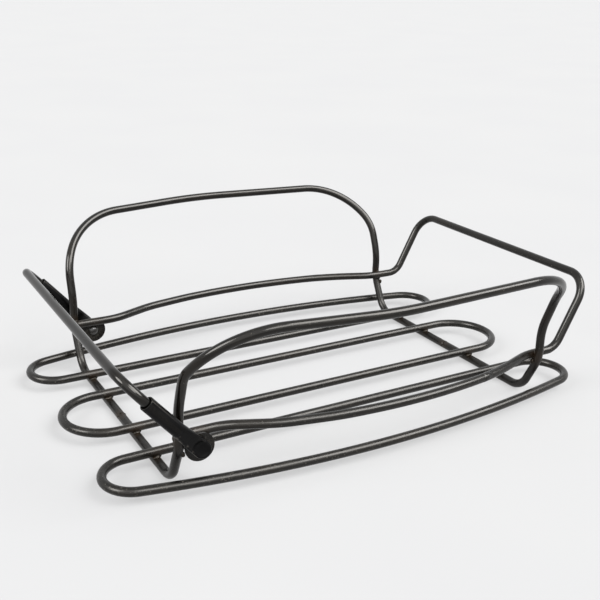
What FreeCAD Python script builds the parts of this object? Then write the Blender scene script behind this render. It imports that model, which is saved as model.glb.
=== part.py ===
import FreeCAD, Part
import math
import os

# Wire roasting rack, millimetres.
# Origin: on the table, midway between the two crossbars. +X runs towards the
# fixed handle, +Y from the front side to the back side, +Z up.

# Wire stock and welds
WIRE_R = 2.5
WELD_SINK = 0.2

# Crossbars, legs and hoops: one bent wire on each side
CROSSBAR_X = 115.0
FOOT_Y = 76.0
FOOT_BEND_R = 14.0
RAIL_BEND_Y = 88.3
RAIL_BEND_Z = 26.5
RAIL_BEND_R = 22.0
KNEE_R = 40.0

# Bends above the rail (x, distance from the centre plane, z, bend radius), from
# the fixed-handle end: knee, shoulder, three along the top, shoulder, knee. The
# hand-bent back hoop has rounder shoulders than the front one.
FRONT_HOOP = (
    (CROSSBAR_X, 88.0, 45.0, KNEE_R),
    (CROSSBAR_X, 96.7, 67.4, 17.0),
    (100.3, 120.3, 91.3, 45.9),
    (-18.0, 127.9, 92.1, 141.0),
    (-100.4, 115.5, 92.6, 49.0),
    (-CROSSBAR_X, 96.7, 67.4, 17.0),
    (-CROSSBAR_X, 88.0, 45.0, KNEE_R),
)
BACK_HOOP = (
    (CROSSBAR_X, 87.3, 43.1, KNEE_R),
    (CROSSBAR_X, 96.1, 65.5, 32.5),
    (98.7, 120.1, 90.1, 47.1),
    (-13.6, 128.9, 91.9, 189.4),
    (-98.6, 115.7, 91.3, 47.0),
    (-CROSSBAR_X, 92.8, 67.7, 29.9),
    (-CROSSBAR_X, 87.3, 46.1, KNEE_R),
)

# Base grid: three closed loops lying across the crossbars
MIDDLE_LOOP_HALF_Y = 24.0
MIDDLE_LOOP_END_X = 148.0
SIDE_LOOP_INNER_Y = 54.5
SIDE_LOOP_OUTER_Y = 102.1
SIDE_LOOP_BOW_R = 628.0
SIDE_LOOP_END_R = 16.6

# Side rail, which runs round into the fixed handle
RAIL_Y = 83.2
RAIL_MID_Z = 29.1
RAIL_FALL = 0.0065
RAIL_END_X = -113.8
RAIL_BOW = (
    (-88.8, 83.2, 33.0),
    (-62.3, 94.5, 75.0),
    (-31.3, 100.6, 160.0),
    (25.7, 105.4, 330.0),
    (77.7, 95.6, 178.0),
    (108.7, 83.8, 41.0),
)
HANDLE_Y = 83.9
HANDLE_FOOT_X = 131.3
HANDLE_FOOT_R = 11.0
HANDLE_TOP_X = 153.3
HANDLE_TOP_Z = 70.0
HANDLE_CORNER_R = 15.0

# Hinge of the swinging handle
PIVOT_X = -103.7
PIVOT_Z = 23.15
LUG_R = 7.8
LUG_THICK = 2.0
LUG_EDGE_R = 0.4
RIVET_R = 2.0
RIVET_RUNNING_GAP = 0.06
RIVET_HEAD_R = 3.25
RIVET_HEAD_RISE = 1.9
RIVET_END_PLAY = 0.15

# Swinging handle: bail wire and two sleeves, drawn at the raised angle
BAIL_ANGLE = 49.3
BAIL_HALF_Y = 94.8
BAIL_REACH = 60.4
BAIL_CORNER_R = 15.0
SLEEVE_R = 3.75
SLEEVE_BORE_R = 2.54
SLEEVE_LENGTH = 44.5
SLEEVE_BORE_START = 22.0
MOUTH_EDGE_R = 0.3
MOUTH_BORE_R = 3.1
MOUTH_BORE_DEPTH = 4.0

# Pressed end of each sleeve: a wide flat with a rounded tip, dished on the outside
PADDLE_HALF_WIDTH = 4.6
PADDLE_THICK = 4.4
PADDLE_GAP = 0.6
PADDLE_TIP_X = 0.5
PADDLE_LENGTH = 3.0
PADDLE_EDGE_R = 1.1
DISH_R = 7.2
DISH_DEPTH = 0.7

# Neck between the flat and the tube: the inside face steps across first, clear
# of the hoop's leg, and the outside face slopes all the way
NECK_INNER_END = 10.4
NECK_END = 22.0
NECK_SECTIONS = 8
NECK_LEAST_FLAT = 0.35

CROSSBAR_Z = WIRE_R
LOOP_Z = 3 * WIRE_R - WELD_SINK
LUG_INNER_Y = RAIL_Y + WIRE_R - WELD_SINK
LUG_OUTER_Y = LUG_INNER_Y + LUG_THICK
PADDLE_INNER_Y = LUG_OUTER_Y + PADDLE_GAP
PADDLE_MID_Y = PADDLE_INNER_Y + PADDLE_THICK / 2
PADDLE_OUTER_Y = PADDLE_INNER_Y + PADDLE_THICK


def vec(x, y, z):
    return FreeCAD.Vector(x, y, z)


def save(shape, name):
    """Write one solid to parts/ under its node name."""
    shape.exportStep(f"parts/{name}.step")
    print(name, round(shape.Volume, 1), shape.isValid())


def mirrored(shape):
    """The same piece on the other side of the rack's long centre plane."""
    return shape.mirror(vec(0, 0, 0), vec(0, 1, 0))


def bent_path(corners):
    """Straight runs joined by tangent arcs.

    corners is a list of (point, bend radius); the first and last have none.
    """
    edges = []
    start = corners[0][0]
    for i in range(1, len(corners) - 1):
        point, radius = corners[i]
        back = (corners[i - 1][0] - point).normalize()
        ahead = (corners[i + 1][0] - point).normalize()
        turn = math.pi - back.getAngle(ahead)
        tangent = radius * math.tan(turn / 2)
        bisector = (back + ahead).normalize()
        arc_start = point + back * tangent
        arc_middle = point + bisector * (radius / math.cos(turn / 2) - radius)
        arc_end = point + ahead * tangent
        if start.distanceToPoint(arc_start) > 0.01:
            edges.append(Part.makeLine(start, arc_start))
        edges.append(Part.Arc(arc_start, arc_middle, arc_end).toShape())
        start = arc_end
    edges.append(Part.makeLine(start, corners[-1][0]))
    return Part.Wire(edges)


def wire_rod(path, radius=WIRE_R):
    """Round wire swept along a path that starts with a straight run or arc."""
    first = path.OrderedEdges[0]
    start = first.valueAt(first.FirstParameter)
    along = first.tangentAt(first.FirstParameter)
    section = Part.Wire(Part.makeCircle(radius, start, along))
    return path.makePipeShell([section], True, True)


def hoop_wire(side, bends):
    """Half a crossbar, a leg, the hoop, a leg, half a crossbar; side -1 is the front."""
    foot = [
        (0.0, CROSSBAR_Z, 0.0),
        (FOOT_Y, CROSSBAR_Z, FOOT_BEND_R),
        (RAIL_BEND_Y, RAIL_BEND_Z, RAIL_BEND_R),
    ]
    right = [(vec(CROSSBAR_X, side * y, z), r) for y, z, r in foot]
    upper = [(vec(x, side * y, z), r) for x, y, z, r in bends]
    left = [(vec(-CROSSBAR_X, side * y, z), r) for y, z, r in reversed(foot)]
    return wire_rod(bent_path(right + upper + left))


def middle_loop():
    """Long oval loop along the middle of the base."""
    r = MIDDLE_LOOP_HALF_Y
    x = MIDDLE_LOOP_END_X - r
    z = LOOP_Z
    edges = [
        Part.makeLine(vec(-x, -r, z), vec(x, -r, z)),
        Part.Arc(vec(x, -r, z), vec(x + r, 0, z), vec(x, r, z)).toShape(),
        Part.makeLine(vec(x, r, z), vec(-x, r, z)),
        Part.Arc(vec(-x, r, z), vec(-x - r, 0, z), vec(-x, -r, z)).toShape(),
    ]
    return wire_rod(Part.Wire(edges))


def side_loop():
    """Front loop: straight inner run, bowed outer run, rounded ends."""
    z = LOOP_Z
    r = SIDE_LOOP_END_R
    bow_y = SIDE_LOOP_OUTER_Y - SIDE_LOOP_BOW_R
    end_y = SIDE_LOOP_INNER_Y + r
    end_x = math.sqrt((SIDE_LOOP_BOW_R - r) ** 2 - (end_y - bow_y) ** 2)
    # The end arc meets the bow where the line of centres crosses it.
    away = math.hypot(end_x, end_y - bow_y)
    meet_x = end_x * SIDE_LOOP_BOW_R / away
    meet_y = bow_y + (end_y - bow_y) * SIDE_LOOP_BOW_R / away
    inner = -SIDE_LOOP_INNER_Y
    outer = -SIDE_LOOP_OUTER_Y
    tip_x = end_x + r
    edges = [
        Part.makeLine(vec(-end_x, inner, z), vec(end_x, inner, z)),
        Part.Arc(vec(end_x, inner, z), vec(tip_x, -end_y, z), vec(meet_x, -meet_y, z)).toShape(),
        Part.Arc(vec(meet_x, -meet_y, z), vec(0, outer, z), vec(-meet_x, -meet_y, z)).toShape(),
        Part.Arc(vec(-meet_x, -meet_y, z), vec(-tip_x, -end_y, z), vec(-end_x, inner, z)).toShape(),
    ]
    return wire_rod(Part.Wire(edges))


def rail_z(x):
    """The rail drops slightly towards the fixed handle."""
    return RAIL_MID_Z - RAIL_FALL * x


def side_rail():
    """One wire: front rail, fixed handle, back rail, with domed free ends."""
    half = [(RAIL_END_X, RAIL_Y, rail_z(RAIL_END_X), 0.0)]
    half += [(x, y, rail_z(x), r) for x, y, r in RAIL_BOW]
    half.append((HANDLE_FOOT_X, HANDLE_Y, rail_z(HANDLE_FOOT_X), HANDLE_FOOT_R))
    half.append((HANDLE_TOP_X, HANDLE_Y, HANDLE_TOP_Z, HANDLE_CORNER_R))
    front = [(vec(x, -y, z), r) for x, y, z, r in half]
    back = [(vec(x, y, z), r) for x, y, z, r in reversed(half)]
    rail = wire_rod(bent_path(front + back))
    for y in (-RAIL_Y, RAIL_Y):
        rail = rail.fuse(Part.makeSphere(WIRE_R, vec(RAIL_END_X, y, rail_z(RAIL_END_X))))
    return rail


def lug():
    """Front hinge disc with its rivet hole, welded to the outside of the rail."""
    centre = vec(PIVOT_X, -LUG_OUTER_Y, PIVOT_Z)
    disc = Part.makeCylinder(LUG_R, LUG_THICK, centre, vec(0, 1, 0))
    disc = disc.makeFillet(LUG_EDGE_R, [e for e in disc.Edges if e.Closed])
    hole = Part.makeCylinder(RIVET_R + RIVET_RUNNING_GAP, LUG_THICK, centre, vec(0, 1, 0))
    return disc.cut(hole)


def rivet():
    """Front rivet: domed head inside the lug, shank held in the sleeve's paddle."""
    head_y = LUG_INNER_Y - RIVET_END_PLAY
    end = vec(PIVOT_X, -PADDLE_MID_Y, PIVOT_Z)
    shank = Part.makeCylinder(RIVET_R, PADDLE_MID_Y - head_y, end, vec(0, 1, 0))
    dome_r = (RIVET_HEAD_R**2 + RIVET_HEAD_RISE**2) / (2 * RIVET_HEAD_RISE)
    dome_y = head_y - RIVET_HEAD_RISE + dome_r
    ball = Part.makeSphere(dome_r, vec(PIVOT_X, -dome_y, PIVOT_Z))
    head_face = vec(PIVOT_X, -head_y, PIVOT_Z)
    slab = Part.makeCylinder(RIVET_HEAD_R, RIVET_HEAD_RISE, head_face, vec(0, 1, 0))
    return shank.fuse(ball.common(slab)).removeSplitter()


def lean(shape):
    """Turn a piece drawn with its arm along +X from the hinge to the raised angle.

    Drawn flat, the hinge axis is Y through the origin.
    """
    out = shape.copy()
    out.rotate(vec(0, 0, 0), vec(0, 0, 1), 180)
    out = out.mirror(vec(0, 0, 0), vec(0, 1, 0))
    out.rotate(vec(0, 0, 0), vec(0, 1, 0), BAIL_ANGLE)
    out.translate(vec(PIVOT_X, 0, PIVOT_Z))
    return out


def bail_wire():
    """U of plain wire whose ends sit inside the sleeves."""
    corners = [
        (vec(SLEEVE_BORE_START, -BAIL_HALF_Y, 0), 0.0),
        (vec(BAIL_REACH, -BAIL_HALF_Y, 0), BAIL_CORNER_R),
        (vec(BAIL_REACH, BAIL_HALF_Y, 0), BAIL_CORNER_R),
        (vec(SLEEVE_BORE_START, BAIL_HALF_Y, 0), 0.0),
    ]
    return lean(wire_rod(bent_path(corners)))


def flat_section(x, inner_y, outer_y, half_width, edge_r):
    """Rounded rectangle across the arm between two faces."""
    mid = -(inner_y + outer_y) / 2
    a = half_width
    b = (outer_y - inner_y) / 2
    r = edge_r
    k = r * (1 - math.sqrt(0.5))
    edges = []
    for sy, sz in ((1, 1), (-1, 1), (-1, -1), (1, -1)):
        along_z = vec(x, mid + sy * b, sz * (a - r))
        along_y = vec(x, mid + sy * (b - r), sz * a)
        middle = vec(x, mid + sy * (b - k), sz * (a - k))
        first, last = (along_z, along_y) if sy * sz > 0 else (along_y, along_z)
        if edges:
            edges.append(Part.makeLine(edges[-1].Vertexes[-1].Point, first))
        edges.append(Part.Arc(first, middle, last).toShape())
    edges.append(Part.makeLine(edges[-1].Vertexes[-1].Point, edges[0].Vertexes[0].Point))
    return Part.Wire(edges)


def between(first, last, share):
    return first + (last - first) * share


def eased(share):
    """Share of a change that starts and stops gently."""
    share = min(share, 1.0)
    return share * share * (3 - 2 * share)


def neck_section(x):
    """Section of the sleeve part way from the flat to the round tube."""
    share = (x - PADDLE_LENGTH) / (NECK_END - PADDLE_LENGTH)
    inner_share = eased((x - PADDLE_LENGTH) / (NECK_INNER_END - PADDLE_LENGTH))
    inner_y = between(PADDLE_INNER_Y, BAIL_HALF_Y - SLEEVE_R, inner_share)
    outer_y = between(PADDLE_OUTER_Y, BAIL_HALF_Y + SLEEVE_R, share)
    half_width = between(PADDLE_HALF_WIDTH, SLEEVE_R, eased(share))
    largest_r = min(half_width, (outer_y - inner_y) / 2) - NECK_LEAST_FLAT
    edge_r = between(PADDLE_EDGE_R, largest_r, share)
    return flat_section(x, inner_y, outer_y, half_width, edge_r)


def round_section(x):
    """The tube's outline across the arm, split edge for edge like flat_section."""
    eighth = math.pi / 4
    marks = [eighth * (i + 0.5) for i in range(9)]
    edges = []
    for first, last in zip(marks, marks[1:]):
        points = []
        for t in (first, (first + last) / 2, last):
            y = -BAIL_HALF_Y + SLEEVE_R * math.cos(t)
            points.append(vec(x, y, SLEEVE_R * math.sin(t)))
        edges.append(Part.Arc(*points).toShape())
    return Part.Wire(edges)


def paddle():
    """The flat pressed end, with its rounded tip just past the hinge axis."""
    tip_centre = vec(PADDLE_TIP_X, -PADDLE_OUTER_Y, 0)
    tip = Part.makeCylinder(PADDLE_HALF_WIDTH, PADDLE_THICK, tip_centre, vec(0, 1, 0))
    corner = vec(PADDLE_TIP_X, -PADDLE_OUTER_Y, -PADDLE_HALF_WIDTH)
    length = PADDLE_LENGTH - PADDLE_TIP_X
    block = Part.makeBox(length, PADDLE_THICK, 2 * PADDLE_HALF_WIDTH, corner)
    flat = tip.fuse(block).removeSplitter()
    rim = []
    for edge in flat.Edges:
        box = edge.BoundBox
        if box.YLength < 0.01 and box.XMin < PADDLE_LENGTH - 0.01:
            rim.append(edge)
    return flat.makeFillet(PADDLE_EDGE_R, rim)


def dish():
    """The round-bottomed hollow pressed into the outside of the flat."""
    axis_y = -(PADDLE_OUTER_Y + DISH_R - DISH_DEPTH)
    start = vec(PADDLE_TIP_X, axis_y, 0)
    end = vec(PADDLE_LENGTH, axis_y, 0)
    trough = Part.makeCylinder(DISH_R, PADDLE_LENGTH - PADDLE_TIP_X, start, vec(1, 0, 0))
    return trough.fuse([Part.makeSphere(DISH_R, start), Part.makeSphere(DISH_R, end)])


def sleeve():
    """Front sleeve: a tube over the bail wire, pressed flat at the hinge."""
    step = (NECK_END - PADDLE_LENGTH) / NECK_SECTIONS
    sections = [neck_section(PADDLE_LENGTH + step * i) for i in range(NECK_SECTIONS)]
    sections.append(round_section(NECK_END))
    neck = Part.makeLoft(sections, True, False)
    neck_end = vec(NECK_END, -BAIL_HALF_Y, 0)
    tube = Part.makeCylinder(SLEEVE_R, SLEEVE_LENGTH - NECK_END, neck_end, vec(1, 0, 0))
    mouth_rim = [e for e in tube.Edges if e.Closed and e.BoundBox.XMin > SLEEVE_LENGTH - 0.01]
    tube = tube.makeFillet(MOUTH_EDGE_R, mouth_rim)
    body = paddle().fuse([neck, tube])
    bore_start = vec(SLEEVE_BORE_START, -BAIL_HALF_Y, 0)
    bore = Part.makeCylinder(SLEEVE_BORE_R, SLEEVE_LENGTH, bore_start, vec(1, 0, 0))
    mouth_start = vec(SLEEVE_LENGTH - MOUTH_BORE_DEPTH, -BAIL_HALF_Y, 0)
    mouth_bore = Part.makeCylinder(MOUTH_BORE_R, SLEEVE_LENGTH, mouth_start, vec(1, 0, 0))
    seat_end = vec(0, -PADDLE_MID_Y, 0)
    rivet_seat = Part.makeCylinder(RIVET_R, PADDLE_THICK / 2, seat_end, vec(0, 1, 0))
    return lean(body.cut([dish(), bore, mouth_bore, rivet_seat]))


os.makedirs("parts", exist_ok=True)

save(middle_loop(), "middle_base_loop")
save(bail_wire(), "bail_wire")
save(side_rail(), "side_rail")
save(hoop_wire(-1, FRONT_HOOP), "front_hoop_and_legs")
save(hoop_wire(1, BACK_HOOP), "back_hoop_and_legs")

for side, front_piece in (
    ("base_loop", side_loop()),
    ("hinge_lug", lug()),
    ("hinge_rivet", rivet()),
    ("handle_sleeve", sleeve()),
):
    save(front_piece, f"front_{side}")
    save(mirrored(front_piece), f"back_{side}")
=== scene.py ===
import math

import bmesh
import bpy
from mathutils import Matrix, Vector, noise


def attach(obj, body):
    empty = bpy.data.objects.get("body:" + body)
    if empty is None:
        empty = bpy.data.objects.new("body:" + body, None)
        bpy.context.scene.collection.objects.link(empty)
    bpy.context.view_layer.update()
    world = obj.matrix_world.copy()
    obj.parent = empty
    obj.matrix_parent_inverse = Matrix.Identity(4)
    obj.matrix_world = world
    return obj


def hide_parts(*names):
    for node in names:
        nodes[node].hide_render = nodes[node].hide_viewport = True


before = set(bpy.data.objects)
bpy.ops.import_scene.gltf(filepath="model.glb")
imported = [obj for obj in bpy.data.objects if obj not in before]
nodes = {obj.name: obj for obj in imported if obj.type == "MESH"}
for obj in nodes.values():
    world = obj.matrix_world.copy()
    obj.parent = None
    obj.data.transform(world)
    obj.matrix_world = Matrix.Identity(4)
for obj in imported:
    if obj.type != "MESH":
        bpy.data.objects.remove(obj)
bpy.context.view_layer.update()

# The CAD frame: origin on the table midway between the crossbars, +X towards the
# fixed handle, +Y towards the back, +Z up. Sizes, places and paths are in
# millimetres and degrees. Meshes are in metres, so they are multiplied by MM.
MM = 0.001


# Sizes -----------------------------------------------------------------------

WIRE_R = 2.5
CROSSBAR_X = 115.0

FOOT = (  # half of a crossbar and the leg's first bend: y, z, bend radius
    (0.0, 2.5, 0.0),
    (76.0, 2.5, 14.0),
    (88.3, 26.5, 22.0),
)
HOOPS = {  # bends above the rail on the front (-1) and the back (1): x, y, z, bend radius
    -1: (
        (115.0, 88.0, 45.0, 40.0),
        (115.0, 96.7, 67.4, 17.0),
        (100.3, 120.3, 91.3, 45.9),
        (-18.0, 127.9, 92.1, 141.0),
        (-100.4, 115.5, 92.6, 49.0),
        (-115.0, 96.7, 67.4, 17.0),
        (-115.0, 88.0, 45.0, 40.0),
    ),
    1: (
        (115.0, 87.3, 43.1, 40.0),
        (115.0, 96.1, 65.5, 32.5),
        (98.7, 120.1, 90.1, 47.1),
        (-13.6, 128.9, 91.9, 189.4),
        (-98.6, 115.7, 91.3, 47.0),
        (-115.0, 92.8, 67.7, 29.9),
        (-115.0, 87.3, 46.1, 40.0),
    ),
}

LOOP_Z = 7.3
MIDDLE_LOOP_HALF_Y = 24.0
MIDDLE_LOOP_END_X = 148.0
SIDE_LOOP_INNER_Y = 54.5
SIDE_LOOP_OUTER_Y = 102.1
SIDE_LOOP_BOW_R = 628.0
SIDE_LOOP_END_R = 16.6

RAIL_Y = 83.2
RAIL_MID_Z = 29.1
RAIL_FALL = 0.0065
RAIL_END_X = -113.8
RAIL_BOW = (  # x, y, bend radius
    (-88.8, 83.2, 33.0),
    (-62.3, 94.5, 75.0),
    (-31.3, 100.6, 160.0),
    (25.7, 105.4, 330.0),
    (77.7, 95.6, 178.0),
    (108.7, 83.8, 41.0),
)
HANDLE_Y = 83.9
HANDLE_FOOT = (131.3, 11.0)  # x, bend radius
HANDLE_TOP = (153.3, 70.0, 15.0)  # x, z, bend radius

PIVOT_X = -103.7
PIVOT_Z = 23.15
BAIL_ANGLE = math.radians(49.3)
BAIL_HALF_Y = 94.8
BAIL_START = 22.0
BAIL_REACH = 60.4
BAIL_CORNER_R = 15.0

CROSSING_Z = 4.9
BUTT_Z = 2.9
RAIL_WELD_Y = 85.6
LUG_WELD_Y = 85.8
LUG_WELD_Z = 28.2
HEAT_REACH = 5.5  # distance from a weld at which its heat marks have mostly faded

RING = 28  # points round a wire
STEP = 1.6  # longest run along a wire
BEND_STEP = 4.0  # most that one run turns in a bend
LOOP_STEP = 5.0  # most that one run turns in a base loop
SAME_POINT = 0.02  # points nearer than this are one point

SWELL = 0.028  # height of long soft waves in the enamel
SWELL_RATE = 45  # how many to a metre
RIPPLE = 0.012  # and of short ones
RIPPLE_RATE = 420

# Rows of points that close a wire's end: height and width, as parts of its radius.
DOME_ROWS = ((0.25, 0.97), (0.5, 0.87), (0.75, 0.66), (0.93, 0.37))
FLAT_ROWS = ((0.0, 0.93),)


# Paths -----------------------------------------------------------------------

def arc_runs(radius, angle, most_turn):
    """How many straight runs stand in for an arc; angle in radians, most_turn in degrees."""
    return max(4, math.ceil(radius * angle / STEP), math.ceil(angle / math.radians(most_turn)))


def bent_path(bends):
    """Points along straight runs joined by tangent arcs. Each bend is the corner
    where two runs would meet (x, y, z) and its radius; the first and last are ends."""
    corners = [Vector(bend[:3]) for bend in bends]
    points = [corners[0]]
    for i in range(1, len(corners) - 1):
        corner = corners[i]
        radius = bends[i][3]
        back = (corners[i - 1] - corner).normalized()
        ahead = (corners[i + 1] - corner).normalized()
        turn = math.pi - back.angle(ahead)
        axis = ahead.cross(back).normalized()
        start = corner + back * (radius * math.tan(turn / 2))
        centre = corner + (back + ahead).normalized() * (radius / math.cos(turn / 2))
        count = arc_runs(radius, turn, BEND_STEP)
        for k in range(count + 1):
            spin = Matrix.Rotation(turn * k / count, 3, axis)
            points.append(centre + spin @ (start - centre))
    points.append(corners[-1])
    return points


def arc(x, y, radius, first, last):
    """Points on a flat arc at the base loops' height, angles in radians."""
    count = arc_runs(radius, last - first, LOOP_STEP)
    points = []
    for k in range(count + 1):
        a = first + (last - first) * k / count
        points.append(Vector((x + radius * math.cos(a), y + radius * math.sin(a), LOOP_Z)))
    return points


def resampled(points, closed):
    """The same line with points no further apart than STEP and none doubled."""
    clean = [points[0]]
    for p in points[1:]:
        if (p - clean[-1]).length > SAME_POINT:
            clean.append(p)
    if closed and (clean[0] - clean[-1]).length < SAME_POINT:
        clean.pop()
    ends = clean[1:] + clean[:1] if closed else clean[1:]
    out = []
    for a, b in zip(clean, ends):
        parts = max(1, math.ceil((b - a).length / STEP))
        out += [a.lerp(b, k / parts) for k in range(parts)]
    if not closed:
        out.append(clean[-1])
    return out


def hoop_path(side):
    right_foot = [(CROSSBAR_X, *bend) for bend in FOOT]
    left_foot = [(-CROSSBAR_X, *bend) for bend in reversed(FOOT)]
    bends = (*right_foot, *HOOPS[side], *left_foot)
    return bent_path([(x, y * side, z, r) for x, y, z, r in bends])


def middle_loop_path():
    r = MIDDLE_LOOP_HALF_Y
    x = MIDDLE_LOOP_END_X - r
    half = math.pi / 2
    return arc(x, 0, r, -half, half) + arc(-x, 0, r, half, 3 * half)


def side_loop_path(side):
    """A straight inner run, a bowed outer run, and a round end tangent to both."""
    r = SIDE_LOOP_END_R
    bow_y = SIDE_LOOP_OUTER_Y - SIDE_LOOP_BOW_R
    end_y = SIDE_LOOP_INNER_Y + r
    end_x = math.sqrt((SIDE_LOOP_BOW_R - r) ** 2 - (end_y - bow_y) ** 2)
    meet = math.atan2(end_y - bow_y, end_x)
    points = arc(end_x, end_y, r, -math.pi / 2, meet)
    points += arc(0, bow_y, SIDE_LOOP_BOW_R, meet, math.pi - meet)
    points += arc(-end_x, end_y, r, math.pi - meet, 1.5 * math.pi)
    return [Vector((p.x, p.y * side, p.z)) for p in points]


def rail_z(x):
    """Height of the rail, which falls a little towards the fixed handle."""
    return RAIL_MID_Z - RAIL_FALL * x


def rail_path():
    """Front rail, raised fixed handle and back rail."""
    foot_x, foot_r = HANDLE_FOOT
    top_x, top_z, top_r = HANDLE_TOP
    half = [(RAIL_END_X, RAIL_Y, rail_z(RAIL_END_X), 0.0)]
    half += [(x, y, rail_z(x), r) for x, y, r in RAIL_BOW]
    half.append((foot_x, HANDLE_Y, rail_z(foot_x), foot_r))
    half.append((top_x, HANDLE_Y, top_z, top_r))
    front = [(x, -y, z, r) for x, y, z, r in half]
    return bent_path(front + half[::-1])


def bail_path():
    """The U of the swinging handle; reach is the distance from the hinge."""
    def bend(reach, y, radius):
        x = PIVOT_X - reach * math.cos(BAIL_ANGLE)
        z = PIVOT_Z + reach * math.sin(BAIL_ANGLE)
        return (x, y, z, radius)

    return bent_path([
        bend(BAIL_START, -BAIL_HALF_Y, 0.0),
        bend(BAIL_REACH, -BAIL_HALF_Y, BAIL_CORNER_R),
        bend(BAIL_REACH, BAIL_HALF_Y, BAIL_CORNER_R),
        bend(BAIL_START, BAIL_HALF_Y, 0.0),
    ])


# Welds -----------------------------------------------------------------------

def place(x, y, z):
    """A point in metres."""
    return Vector((x * MM, y * MM, z * MM))


ENDS = (-1, 1)  # left, right
SIDES = (-1, 1)  # front, back
LANES = (-SIDE_LOOP_INNER_Y, -MIDDLE_LOOP_HALF_Y, MIDDLE_LOOP_HALF_Y, SIDE_LOOP_INNER_Y)

CROSSINGS = [place(end * CROSSBAR_X, lane, CROSSING_Z) for end in ENDS for lane in LANES]
RAIL_WELDS = [
    place(end * CROSSBAR_X, side * RAIL_WELD_Y, rail_z(end * CROSSBAR_X))
    for end in ENDS for side in SIDES
]
LUG_WELDS = [place(PIVOT_X, side * LUG_WELD_Y, LUG_WELD_Z) for side in SIDES]
BUTT_WELDS = [place(end * CROSSBAR_X, 0.0, BUTT_Z) for end in ENDS]
WELDS = CROSSINGS + RAIL_WELDS + LUG_WELDS + BUTT_WELDS


# Wires -----------------------------------------------------------------------

def add_object(name, data):
    obj = bpy.data.objects.new(name, data)
    bpy.context.scene.collection.objects.link(obj)
    return obj


def directions(line, closed):
    """The line's direction at each point."""
    n = len(line)
    found = []
    for i in range(n):
        before = line[(i - 1) % n] if closed or i else line[0]
        after = line[(i + 1) % n] if closed or i < n - 1 else line[-1]
        found.append((after - before).normalized())
    return found


def carried_sides(tangents):
    """A sideways direction at each point, carried along without twisting."""
    steep = abs(tangents[0].z) > 0.9
    up = Vector((0, 1, 0)) if steep else Vector((0, 0, 1))
    sides = [tangents[0].cross(up).normalized()]
    for before, tangent in zip(tangents, tangents[1:]):
        side = (before.rotation_difference(tangent) @ sides[-1]).normalized()
        sides.append((side - tangent * side.dot(tangent)).normalized())
    return sides


def closing_twist(tangents, sides):
    """The angle between the last carried side and the first, round a closed line."""
    last = tangents[-1].rotation_difference(tangents[0]) @ sides[-1]
    return math.atan2(last.cross(sides[0]).dot(tangents[0]), last.dot(sides[0]))


def distances(line, closed):
    """How far along each point is; a closed line's first point comes again at the end."""
    found = [0.0]
    for before, after in zip(line, line[1:] + line[:1] if closed else line[1:]):
        found.append(found[-1] + (after - before).length)
    return found


def close_end(bm, straight, ring, centre, way, length, dome):
    """A domed end, or a sheared flat one whose rim is shaded as if a little rubbed."""
    def add_face(corners, smooth):
        face = bm.faces.new(corners)
        face.smooth = smooth
        for loop in face.loops:
            across = loop.vert.co - centre
            loop[straight] = Vector((length, across.x, across.z))

    reach = WIRE_R * MM if dome else 0.0
    last = ring
    for height, width in DOME_ROWS if dome else FLAT_ROWS:
        row = []
        for v in ring:
            radial = (v.co - centre) - way * (v.co - centre).dot(way)
            row.append(bm.verts.new(centre + radial * width + way * (height * reach)))
        for k in range(RING):
            j = (k + 1) % RING
            add_face((last[k], last[j], row[j], row[k]), True)
        last = row
    tip = bm.verts.new(centre + way * reach)
    for k in range(RING):
        add_face((last[k], last[(k + 1) % RING], tip), dome)


def wire(name, path, closed, dome):
    """Round wire along a path. Its straightened coordinates (distance along, then
    across) are kept on the corners as 'straight' for the materials, and its
    nearness to a weld on the points as 'weld'."""
    line = [p * MM for p in resampled(path, closed)]
    n = len(line)
    tangents = directions(line, closed)
    sides = carried_sides(tangents)
    twist = closing_twist(tangents, sides) if closed else 0.0
    along = distances(line, closed)
    radius = WIRE_R * MM
    seed = sum(ord(c) for c in name) * 0.37

    bm = bmesh.new()
    straight = bm.loops.layers.float_vector.new("straight")
    rings = []
    for i in range(n):
        out = tangents[i].cross(sides[i])
        ring = []
        for k in range(RING):
            a = 2 * math.pi * k / RING + twist * i / n
            away = sides[i] * math.cos(a) + out * math.sin(a)
            base = line[i] + away * radius
            swell = noise.noise(base * SWELL_RATE + Vector((seed, 0, 0))) * SWELL * MM
            ripple = noise.noise(base * RIPPLE_RATE + Vector((0, seed, 0))) * RIPPLE * MM
            ring.append(bm.verts.new(line[i] + away * (radius + swell + ripple)))
        rings.append(ring)

    def coordinate(i, k):
        a = 2 * math.pi * k / RING
        return Vector((along[i], radius * math.cos(a), radius * math.sin(a)))

    for i in range(n if closed else n - 1):
        after = rings[(i + 1) % n]
        for k in range(RING):
            j = (k + 1) % RING
            face = bm.faces.new((rings[i][k], after[k], after[j], rings[i][j]))
            face.smooth = True
            for loop, corner in zip(face.loops, ((i, k), (i + 1, k), (i + 1, j), (i, j))):
                loop[straight] = coordinate(*corner)
    if not closed:
        close_end(bm, straight, rings[0], line[0], -tangents[0], along[0], dome)
        close_end(bm, straight, rings[-1], line[-1], tangents[-1], along[-1], dome)
    bmesh.ops.recalc_face_normals(bm, faces=bm.faces)
    mesh = bpy.data.meshes.new(name)
    bm.to_mesh(mesh)
    bm.free()

    heat = []
    for v in mesh.vertices:
        nearest = min((v.co - weld).length for weld in WELDS)
        heat.append(math.exp(-((nearest / (HEAT_REACH * MM)) ** 2)))
    mesh.attributes.new("weld", "FLOAT", "POINT").data.foreach_set("value", heat)
    return add_object(name, mesh)


# Materials -------------------------------------------------------------------

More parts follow.
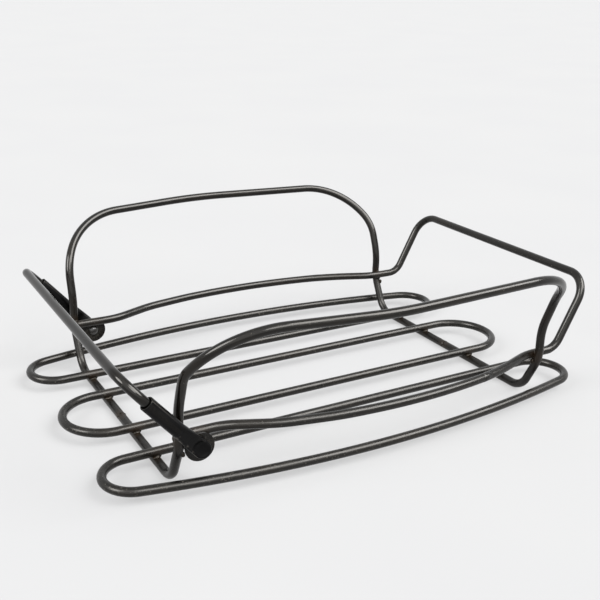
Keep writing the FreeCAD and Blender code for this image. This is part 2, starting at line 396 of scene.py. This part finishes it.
class Nodes:
    """Short ways to add and join shader nodes."""

    def __init__(self, name):
        self.material = bpy.data.materials.new(name)
        self.material.use_nodes = True
        self.tree = self.material.node_tree
        self.tree.nodes.clear()
        self.shader = self.add("ShaderNodeBsdfPrincipled")
        out = self.add("ShaderNodeOutputMaterial")
        self.join(self.shader.outputs[0], out.inputs["Surface"])

    def join(self, a, b):
        self.tree.links.new(a, b)

    def add(self, kind, **values):
        node = self.tree.nodes.new(kind)
        for key, value in values.items():
            setattr(node, key, value)
        return node

    def attribute(self, name, output):
        return self.add("ShaderNodeAttribute", attribute_name=name).outputs[output]

    def position(self):
        return self.add("ShaderNodeTexCoord").outputs["Object"]

    def edges(self):
        return self.add("ShaderNodeNewGeometry").outputs["Pointiness"]

    def scaled(self, vector, scale, turn=(0.0, 0.0, 0.0)):
        node = self.add("ShaderNodeMapping")
        node.inputs["Scale"].default_value = scale
        node.inputs["Rotation"].default_value = turn
        self.join(vector, node.inputs["Vector"])
        return node.outputs["Vector"]

    def noise(self, vector, scale=1.0, detail=3.0, rough=0.5):
        node = self.add("ShaderNodeTexNoise")
        node.inputs["Scale"].default_value = scale
        node.inputs["Detail"].default_value = detail
        node.inputs["Roughness"].default_value = rough
        self.join(vector, node.inputs["Vector"])
        return node.outputs["Fac"]

    def span(self, value, low, high, to_low=0.0, to_high=1.0):
        """value from low to high, as to_low to to_high, and no further."""
        node = self.add("ShaderNodeMapRange", clamp=True)
        node.inputs["From Min"].default_value = low
        node.inputs["From Max"].default_value = high
        node.inputs["To Min"].default_value = to_low
        node.inputs["To Max"].default_value = to_high
        self.join(value, node.inputs["Value"])
        return node.outputs["Result"]

    def height(self, position):
        node = self.add("ShaderNodeSeparateXYZ")
        self.join(position, node.inputs[0])
        return node.outputs["Z"]

    def math(self, operation, a, b):
        node = self.add("ShaderNodeMath", operation=operation)
        for socket, value in zip(node.inputs, (a, b)):
            if isinstance(value, (int, float)):
                socket.default_value = value
            else:
                self.join(value, socket)
        return node.outputs[0]

    def times(self, a, b):
        return self.math("MULTIPLY", a, b)

    def plus(self, a, b):
        return self.math("ADD", a, b)

    def mix(self, factor, a, b):
        node = self.add("ShaderNodeMix", data_type="RGBA")
        self.join(factor, node.inputs["Factor"])
        for socket, value in ((node.inputs["A"], a), (node.inputs["B"], b)):
            if isinstance(value, tuple):
                socket.default_value = (*value, 1.0)
            else:
                self.join(value, socket)
        return node.outputs["Result"]

    def bump(self, height, distance, strength, normal=None):
        """distance in millimetres; normal is a bump below this one."""
        node = self.add("ShaderNodeBump")
        node.inputs["Distance"].default_value = distance * MM
        node.inputs["Strength"].default_value = strength
        self.join(height, node.inputs["Height"])
        if normal:
            self.join(normal, node.inputs["Normal"])
        return node.outputs["Normal"]

    def finish(self, colour, roughness, normal, specular, tint=(1.0, 1.0, 1.0)):
        s = self.shader
        self.join(colour, s.inputs["Base Color"])
        self.join(roughness, s.inputs["Roughness"])
        self.join(normal, s.inputs["Normal"])
        s.inputs["Specular IOR Level"].default_value = specular
        s.inputs["Specular Tint"].default_value = (*tint, 1.0)
        return self.material


# Colours are linear red, green and blue. Noise scales are in cells to a metre.
DEEP_ENAMEL = (0.0009, 0.00085, 0.0008)
THIN_ENAMEL = (0.0030, 0.0026, 0.0021)
WARM_ENAMEL = (0.0048, 0.0032, 0.0020)
DRAW_LINE = (0.0085, 0.0076, 0.0062)
CHIPPED = (0.045, 0.041, 0.034)
SCORCHED = (0.013, 0.0075, 0.0038)
WIRE_GLOSS = (1.0, 0.968, 0.915)

DEEP_SLEEVE = (0.0006, 0.0006, 0.00065)
THIN_SLEEVE = (0.0016, 0.00155, 0.0016)
SLEEVE_LINE = (0.004, 0.0037, 0.0034)
# Painted highlight: the pale colour laid on the sleeve's rims and high spots.
SLEEVE_RIM_HIGHLIGHT = (0.055, 0.050, 0.044)

DEEP_LUG = (0.0009, 0.0008, 0.0007)
THIN_LUG = (0.0046, 0.0037, 0.0028)
DEEP_RIVET = (0.004, 0.0037, 0.0034)
THIN_RIVET = (0.016, 0.0145, 0.0125)
SCRATCHED = (0.024, 0.022, 0.019)
SHEET_WORN = (0.035, 0.032, 0.027)

DEEP_BEAD = (0.0016, 0.0013, 0.0010)
THIN_BEAD = (0.0090, 0.0056, 0.0030)
BEAD_SPECK = (0.060, 0.046, 0.030)
BEAD_GLOSS = (1.0, 0.93, 0.82)


def wire_material(name, rough, grit, speck, specular, low_rough=0.0):
    """Black enamel on drawn wire: long faint draw lines, mottled tone, pale
    specks where it has chipped, and brown heat marks beside the welds. grit is
    the depth of its texture, and the higher speck is, the fewer the specks.
    low_rough is added near the table, where the enamel is duller and gritty."""
    n = Nodes(name)
    along = n.attribute("straight", "Vector")
    weld = n.attribute("weld", "Fac")
    position = n.position()
    streak = n.noise(n.scaled(along, (70.0, 2600.0, 2600.0)), rough=0.6)
    mottle = n.noise(n.scaled(along, (160.0, 420.0, 420.0)), detail=4.0, rough=0.6)
    cloud = n.noise(position, scale=38.0, detail=2.0)
    grain = n.noise(position, scale=2300.0, rough=0.65)
    pit = n.noise(position, scale=950.0, detail=1.0, rough=0.4)
    chips = n.span(pit, speck, speck + 0.035)
    scorch = n.times(n.span(weld, 0.15, 0.8), n.span(cloud, 0.35, 0.6, 0.25, 1.0))
    low = n.span(n.height(position), 0.018, 0.050, 1.0, 0.0)

    colour = n.mix(n.span(mottle, 0.38, 0.70), DEEP_ENAMEL, THIN_ENAMEL)
    colour = n.mix(n.span(streak, 0.52, 0.72, 0.0, 0.5), colour, DRAW_LINE)
    colour = n.mix(n.span(cloud, 0.48, 0.68, 0.0, 0.45), colour, WARM_ENAMEL)
    colour = n.mix(n.times(chips, 0.7), colour, CHIPPED)
    colour = n.mix(n.times(scorch, 0.6), colour, SCORCHED)

    roughness = n.span(mottle, 0.3, 0.7, rough - 0.05, rough + 0.09)
    roughness = n.plus(roughness, n.span(streak, 0.35, 0.7, -0.03, 0.06))
    roughness = n.plus(roughness, n.times(chips, 0.15))
    roughness = n.plus(roughness, n.times(scorch, 0.1))
    roughness = n.plus(roughness, n.times(low, low_rough))

    grain = n.times(grain, n.plus(1.0, n.times(low, 6.0 * low_rough)))
    normal = n.bump(streak, 0.004 * grit, 0.7)
    normal = n.bump(grain, 0.0045 * grit, 0.8, normal)
    normal = n.bump(pit, 0.016 * grit, 0.5, normal)
    return n.finish(colour, roughness, normal, specular, tint=WIRE_GLOSS)


def sleeve_material():
    """Satin black enamel on tube: fine sprayed texture, with a pale painted highlight on its rims
    and high spots.
    """
    n = Nodes("handle_sleeve_enamel")
    position = n.position()
    lengthwise = n.scaled(position, (30.0, 900.0, 900.0), (0.0, -BAIL_ANGLE, 0.0))
    draw = n.noise(lengthwise, rough=0.6)
    spray = n.noise(position, scale=1500.0, rough=0.6)
    cloud = n.noise(position, scale=110.0)
    # Painted highlight: the sleeve's rims and high spots, picked out by pointiness, are lightened
    # towards a pale grey.
    rim_mask = n.times(n.span(n.edges(), 0.515, 0.57), n.span(spray, 0.3, 0.6, 0.3, 1.0))

    colour = n.mix(n.span(cloud, 0.35, 0.7), DEEP_SLEEVE, THIN_SLEEVE)
    colour = n.mix(n.span(draw, 0.55, 0.75, 0.0, 0.35), colour, SLEEVE_LINE)
    colour = n.mix(n.times(rim_mask, 0.8), colour, SLEEVE_RIM_HIGHLIGHT)
    roughness = n.span(cloud, 0.3, 0.7, 0.30, 0.42)
    normal = n.bump(draw, 0.006, 0.5)
    normal = n.bump(spray, 0.006, 0.7, normal)
    return n.finish(colour, roughness, normal, specular=0.08)


def sheet_material(name, deep, thin, rough, specular):
    """Enamel on pressed steel: mottled, a little brown, scratched, rubbed at the rim."""
    n = Nodes(name)
    position = n.position()
    cloud = n.noise(position, scale=170.0, detail=4.0, rough=0.6)
    fine = n.noise(position, scale=1700.0, rough=0.6)
    scratch = n.noise(n.scaled(position, (2600.0, 400.0, 260.0), (0.0, 0.6, 0.0)), detail=2.0)
    rim_mask = n.times(n.span(n.edges(), 0.52, 0.58), n.span(fine, 0.42, 0.6))

    colour = n.mix(n.span(cloud, 0.35, 0.68), deep, thin)
    colour = n.mix(n.span(scratch, 0.62, 0.74, 0.0, 0.4), colour, SCRATCHED)
    colour = n.mix(n.times(rim_mask, 0.6), colour, SHEET_WORN)
    roughness = n.span(cloud, 0.3, 0.7, rough - 0.06, rough + 0.08)
    normal = n.bump(fine, 0.006, 0.7)
    normal = n.bump(scratch, 0.004, 0.6, normal)
    return n.finish(colour, roughness, normal, specular)


def bead_material():
    """Weld metal under enamel: lumpy, brown from heat, glossier in patches."""
    n = Nodes("weld_bead")
    position = n.position()
    cloud = n.noise(position, scale=420.0, detail=4.0, rough=0.65)
    fine = n.noise(position, scale=2100.0, rough=0.6)

    colour = n.mix(n.span(cloud, 0.38, 0.66), DEEP_BEAD, THIN_BEAD)
    colour = n.mix(n.span(fine, 0.64, 0.74, 0.0, 0.6), colour, BEAD_SPECK)
    roughness = n.span(cloud, 0.3, 0.7, 0.26, 0.46)
    normal = n.bump(cloud, 0.16, 0.6)
    normal = n.bump(fine, 0.05, 0.7, normal)
    return n.finish(colour, roughness, normal, specular=0.2, tint=BEAD_GLOSS)


MATERIALS = {
    "grid_wire": wire_material(
        "grid_wire_enamel", rough=0.25, grit=1.6, speck=0.69, specular=0.33
    ),
    "hoop_wire": wire_material(
        "hoop_wire_enamel", rough=0.13, grit=0.7, speck=0.74, specular=0.30, low_rough=0.15
    ),
    "rail_wire": wire_material(
        "rail_wire_enamel", rough=0.20, grit=1.0, speck=0.72, specular=0.32
    ),
    "bail_wire": wire_material(
        "bail_wire_enamel", rough=0.07, grit=0.28, speck=0.76, specular=0.29
    ),
    "handle_sleeve": sleeve_material(),
    "hinge_lug": sheet_material(
        "hinge_lug_enamel", DEEP_LUG, THIN_LUG, rough=0.20, specular=0.19
    ),
    "hinge_rivet": sheet_material(
        "hinge_rivet_enamel", DEEP_RIVET, THIN_RIVET, rough=0.17, specular=0.60
    ),
}


def dress(obj, material):
    obj.data.materials.clear()
    obj.data.materials.append(material)


# Pieces ----------------------------------------------------------------------

PIECES = (  # name, path, closed, domed ends, node, slot, body
    ("middle_loop_wire", middle_loop_path(), True, False, "middle_base_loop", "grid_wire", "rack"),
    ("front_loop_wire", side_loop_path(-1), True, False, "front_base_loop", "grid_wire", "rack"),
    ("back_loop_wire", side_loop_path(1), True, False, "back_base_loop", "grid_wire", "rack"),
    ("front_hoop_wire", hoop_path(-1), False, False, "front_hoop_and_legs", "hoop_wire", "rack"),
    ("back_hoop_wire", hoop_path(1), False, False, "back_hoop_and_legs", "hoop_wire", "rack"),
    ("rail_and_handle_wire", rail_path(), False, True, "side_rail", "rail_wire", "rack"),
    ("bail_bar_wire", bail_path(), False, False, "bail_wire", "bail_wire", "handle"),
)

for name, path, closed, dome, node, slot, body in PIECES:
    piece = wire(name, path, closed, dome)
    dress(piece, MATERIALS[slot])
    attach(piece, body)
    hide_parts(node)

for side in ("front", "back"):
    for part in ("hinge_lug", "hinge_rivet", "handle_sleeve"):
        dress(nodes[f"{side}_{part}"], MATERIALS[part])


# Weld beads --------------------------------------------------------------------

# A lump is its offset from its weld, then its half sizes. The x and y of a rail lump's
# offset point away from the middle of the rack.
CROSSING_POOL = (2.9, 2.9, 1.25)
CROSSING_WOBBLE = 0.5
BUTT_COLLAR = (2.45, 1.3, 2.3)
RAIL_LUMPS = (
    ((0.0, 0.0, 0.0), (2.4, 1.5, 2.5)),
    ((0.6, -0.4, -2.9), (1.7, 1.5, 1.6)),
    ((-1.3, -0.2, -2.2), (1.3, 1.3, 1.2)),
)
LUG_LUMPS = (
    ((-3.6, 0.0, 0.6), (1.9, 1.0, 1.1)),
    ((3.4, 0.0, 0.5), (2.0, 1.0, 1.0)),
)
LEG_RUNS = (  # place, then half sizes: metal that has run down single legs
    ((-113.0, -87.6, 21.6), (1.1, 1.2, 1.6)),
    ((112.3, -86.2, 24.4), (1.6, 1.3, 1.8)),
    ((117.0, 84.4, 22.4), (1.3, 1.3, 1.7)),
)
BEAD_VOXEL = 0.22


def grid_lumps():
    """A flat pool with two small lumps at each crossing, and a collar where the
    halves of each crossbar meet."""
    lumps = []
    for i, weld in enumerate(CROSSINGS):
        wobble = CROSSING_WOBBLE * math.sin(2.3 * i)
        lumps.append((weld, CROSSING_POOL))
        lumps.append((weld + Vector((1.5, 1.5 + wobble, -0.2)) * MM, (1.4, 1.3, 0.9)))
        lumps.append((weld + Vector((-1.4 + wobble, -1.6, -0.1)) * MM, (1.3, 1.5, 0.9)))
    lumps += [(weld, BUTT_COLLAR) for weld in BUTT_WELDS]
    return lumps


def rail_lumps():
    """The welds of the rail to the legs and of the lugs to the rail."""
    lumps = []
    for weld in RAIL_WELDS:
        end = math.copysign(1.0, weld.x)
        side = math.copysign(1.0, weld.y)
        for (x, y, z), radii in RAIL_LUMPS:
            lumps.append((weld + Vector((x * end, y * side, z)) * MM, radii))
    for weld in LUG_WELDS:
        lumps += [(weld + Vector(offset) * MM, radii) for offset, radii in LUG_LUMPS]
    lumps += [(Vector(centre) * MM, radii) for centre, radii in LEG_RUNS]
    return lumps


def lump(bm, centre, radii, seed):
    """A small uneven ball pressed out of round."""
    made = bmesh.ops.create_icosphere(bm, subdivisions=4, radius=1.0)
    for v in made["verts"]:
        d = v.co.normalized()
        swell = 1 + 0.16 * noise.noise(d * 1.6 + Vector((seed, seed * 0.7, 0)))
        swell += 0.05 * noise.noise(d * 5.0 + Vector((0, seed, seed)))
        v.co = centre + Vector((d.x * radii[0], d.y * radii[1], d.z * radii[2])) * MM * swell


def beads(name, lumps):
    """Lumps melted together into one skin."""
    mesh = bpy.data.meshes.new(name)
    bm = bmesh.new()
    for i, (centre, radii) in enumerate(lumps):
        lump(bm, centre, radii, 3.1 * i + 0.7)
    bm.to_mesh(mesh)
    bm.free()
    obj = add_object(name, mesh)
    melt = obj.modifiers.new("melt", "REMESH")
    melt.mode = "VOXEL"
    melt.voxel_size = BEAD_VOXEL * MM
    melt.use_smooth_shade = True
    relax = obj.modifiers.new("relax", "SMOOTH")
    relax.iterations = 4
    bpy.context.view_layer.update()
    depsgraph = bpy.context.evaluated_depsgraph_get()
    skin = bpy.data.meshes.new_from_object(obj.evaluated_get(depsgraph))
    obj.modifiers.clear()
    obj.data = skin
    skin.name = name
    dress(obj, bead_enamel)
    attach(obj, "rack")


bead_enamel = bead_material()
beads("grid_weld_beads", grid_lumps())
beads("rail_weld_beads", rail_lumps())


# Floor, light and camera ---------------------------------------------------------

CAMERA_YAW = math.radians(29.37)
CAMERA_PITCH = math.radians(19.99)
CAMERA_ROLL = math.radians(0.71)
CAMERA_PLACE = Vector((-0.2568, -0.4572, 0.2450))  # metres
CAMERA_LENS = 55.01
CAMERA_SENSOR = 36.0

FLOOR_HALF = 30.0  # metres
FLOOR_CELLS = 6
PAPER_DARK = (0.119, 0.119, 0.120)
PAPER_LIGHT = (0.123, 0.1229, 0.1227)
PAPER_GLOW_COLOUR = (0.998, 0.998, 1.0, 1.0)
PAPER_GLOW = 0.449

ROOM_SEEN = (0.87, 0.87, 0.875, 1.0)
ROOM_LIGHT = (0.98, 0.99, 1.0, 1.0)
ROOM_LEVEL = 1.0
GLOW_LEVEL = 2.2
GLOW_EDGE = 0.35  # cosine of the angle from its middle at which the glow has faded
GLOW_HEIGHT = 40.0

SOFTBOXES = (  # name, azimuth, elevation, angle it fills, strength
    ("softbox_left", -57.0, 33.0, 32.0, 3.3),
    ("softbox_right", 80.0, 46.0, 40.0, 5.0),
    ("softbox_front", 31.0, 43.0, 30.0, 2.0),
)


def paper_floor():
    """A wide pale paper floor with a faint glow of its own and no gloss."""
    mesh = bpy.data.meshes.new("paper_floor")
    bm = bmesh.new()
    bmesh.ops.create_grid(bm, x_segments=FLOOR_CELLS, y_segments=FLOOR_CELLS, size=FLOOR_HALF)
    bm.to_mesh(mesh)
    bm.free()
    obj = add_object("paper_floor", mesh)
    n = Nodes("pale_paper")
    position = n.position()
    fibre = n.noise(position, scale=900.0)
    tone = n.noise(position, scale=5.0, detail=2.0)
    colour = n.mix(n.span(tone, 0.35, 0.65), PAPER_DARK, PAPER_LIGHT)
    roughness = n.span(fibre, 0.3, 0.7, 0.6, 0.7)
    dress(obj, n.finish(colour, roughness, n.bump(fibre, 0.02, 0.4), specular=0.0))
    n.shader.inputs["Emission Color"].default_value = PAPER_GLOW_COLOUR
    n.shader.inputs["Emission Strength"].default_value = PAPER_GLOW


def light_way(azimuth, elevation):
    """The direction towards a light. Azimuth 0 is behind the camera, and a negative
    azimuth is to its left."""
    way = CAMERA_YAW + math.pi - math.radians(azimuth)
    up = math.radians(elevation)
    return Vector((math.sin(way) * math.cos(up), math.cos(way) * math.cos(up), math.sin(up)))


def far_light(name, azimuth, elevation, width, strength):
    """A far soft light."""
    lamp = bpy.data.lights.new(name, "SUN")
    lamp.angle = math.radians(width)
    lamp.energy = strength
    way = light_way(azimuth, elevation)
    add_object(name, lamp).rotation_euler = way.to_track_quat("Z", "Y").to_euler()


def room_light():
    """Pale to the eye; as a light, a pale room with a broad glow behind the camera."""
    world = bpy.data.worlds.new("soft_room")
    bpy.context.scene.world = world
    world.use_nodes = True
    tree = world.node_tree
    tree.nodes.clear()
    out = tree.nodes.new("ShaderNodeOutputWorld")
    seen = tree.nodes.new("ShaderNodeBackground")
    lit = tree.nodes.new("ShaderNodeBackground")
    mix = tree.nodes.new("ShaderNodeMixShader")
    ray = tree.nodes.new("ShaderNodeLightPath")
    seen.inputs["Color"].default_value = ROOM_SEEN
    lit.inputs["Color"].default_value = ROOM_LIGHT
    tree.links.new(ray.outputs["Is Camera Ray"], mix.inputs["Fac"])
    tree.links.new(lit.outputs[0], mix.inputs[1])
    tree.links.new(seen.outputs[0], mix.inputs[2])
    tree.links.new(mix.outputs[0], out.inputs["Surface"])

    way = tree.nodes.new("ShaderNodeTexCoord")
    toward = tree.nodes.new("ShaderNodeVectorMath")
    toward.operation = "DOT_PRODUCT"
    toward.inputs[1].default_value = light_way(0.0, GLOW_HEIGHT)
    tree.links.new(way.outputs["Generated"], toward.inputs[0])
    glow = tree.nodes.new("ShaderNodeMapRange")
    glow.interpolation_type = "SMOOTHSTEP"
    glow.inputs["From Min"].default_value = GLOW_EDGE
    glow.inputs["To Min"].default_value = ROOM_LEVEL
    glow.inputs["To Max"].default_value = GLOW_LEVEL
    tree.links.new(toward.outputs["Value"], glow.inputs["Value"])
    tree.links.new(glow.outputs[0], lit.inputs["Strength"])


def camera():
    """A camera turned by yaw, then pitched down, then rolled."""
    data = bpy.data.cameras.new("camera")
    data.sensor_width = CAMERA_SENSOR
    data.lens = CAMERA_LENS
    up = Vector((0, 0, 1))
    ahead = Vector((math.sin(CAMERA_YAW), math.cos(CAMERA_YAW), 0.0))
    right = Vector((math.cos(CAMERA_YAW), -math.sin(CAMERA_YAW), 0.0))
    forward = ahead * math.cos(CAMERA_PITCH) - up * math.sin(CAMERA_PITCH)
    upward = up * math.cos(CAMERA_PITCH) + ahead * math.sin(CAMERA_PITCH)
    right_rolled = right * math.cos(CAMERA_ROLL) + upward * math.sin(CAMERA_ROLL)
    up_rolled = upward * math.cos(CAMERA_ROLL) - right * math.sin(CAMERA_ROLL)
    turn = Matrix((right_rolled, up_rolled, -forward)).transposed().to_4x4()
    obj = add_object("camera", data)
    obj.matrix_world = Matrix.Translation(CAMERA_PLACE) @ turn
    return obj


paper_floor()
room_light()
for softbox in SOFTBOXES:
    far_light(*softbox)
bpy.context.scene.camera = camera()
bpy.context.scene.view_settings.view_transform = "Standard"
